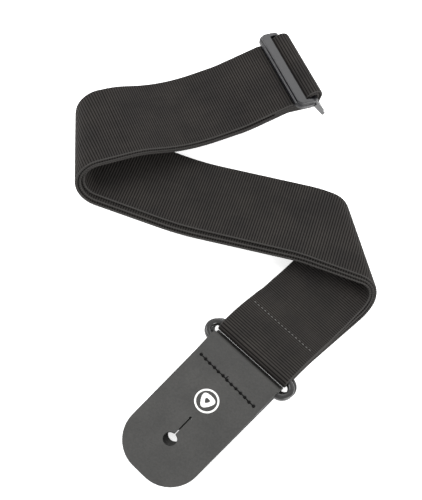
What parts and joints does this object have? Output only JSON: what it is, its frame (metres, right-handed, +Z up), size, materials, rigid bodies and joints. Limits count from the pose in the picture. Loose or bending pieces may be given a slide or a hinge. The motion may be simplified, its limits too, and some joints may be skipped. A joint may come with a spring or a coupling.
{
  "type": "guitar strap",
  "caption": "Adjustable ribbed webbing guitar strap folded in a Z, with leather end tabs on plastic rings and a bent two-tier slider.",
  "frame": {"origin": "centre of the bounding box in plan, on the ground the folded strap lies on", "axes": "+Z up, away from the ground; +Y from the leather tabs' end towards the slider's end of the folded Z; +X towards the right-hand fold"},
  "size_m": [0.211, 0.305, 0.0423],
  "materials": {
    "webbing": "matte ribbed polyester weave",
    "leather": "matte fine grain",
    "ring_plastic": "satin",
    "slider_plastic": "satin",
    "webbing_thread": "matte thread",
    "leather_thread": "matte thread"
  },
  "bodies": {
    "strap": {"webbing_front_ring_loop": "webbing", "webbing_front_lower": "webbing", "webbing_front_right_fold": "webbing", "webbing_front_middle": "webbing", "webbing_front_left_fold": "webbing", "webbing_front_upper": "webbing", "webbing_over_slider_bar": "webbing", "webbing_return_upper": "webbing", "webbing_return_left_fold": "webbing", "webbing_return_middle": "webbing", "webbing_return_right_fold": "webbing", "webbing_return_lower": "webbing", "webbing_rear_ring_loop": "webbing", "webbing_adjusting_lower": "webbing", "webbing_adjusting_right_fold": "webbing", "webbing_adjusting_middle": "webbing", "webbing_adjusting_left_fold": "webbing", "webbing_adjusting_upper": "webbing", "webbing_end_loop": "webbing", "webbing_stitching_front": "webbing_thread", "webbing_stitching_slider": "webbing_thread"},
    "ring_front": {"ring_front": "ring_plastic"},
    "tab_front": {"leather_tab_front": "leather", "tab_stitching_front": "leather_thread"},
    "ring_rear": {"ring_rear": "ring_plastic"},
    "tab_rear": {"leather_tab_rear": "leather", "tab_stitching_rear": "leather_thread"},
    "slider": {"slider_frame": "slider_plastic"}
  },
  "joints": [
    {"name": "ring_front_swing", "type": "hinge", "parent": "strap", "child": "ring_front", "pos_m": [0.04327, -0.06607, 0.0129], "axis": [-0.8988, 0.4384, 0], "range_deg": [0, 50]},
    {"name": "tab_front_swing", "type": "hinge", "parent": "ring_front", "child": "tab_front", "pos_m": [0.03845, -0.07595, 0.0129], "axis": [-0.8988, 0.4384, 0], "range_deg": [0, 95]},
    {"name": "ring_rear_swing", "type": "hinge", "parent": "strap", "child": "ring_rear", "pos_m": [0.04547, -0.06047, 0.0042], "axis": [-0.8988, 0.4384, 0], "range_deg": [-50, 0]},
    {"name": "tab_rear_swing", "type": "hinge", "parent": "ring_rear", "child": "tab_rear", "pos_m": [0.04065, -0.07035, 0.0042], "axis": [-0.8988, 0.4384, 0], "range_deg": [-95, 0]},
    {"name": "slider_rock", "type": "hinge", "parent": "strap", "child": "slider", "pos_m": [0.0157, 0.1234, 0.036], "axis": [-0.6481, 0.7615, 0], "range_deg": [-1, 8]}
  ]
}
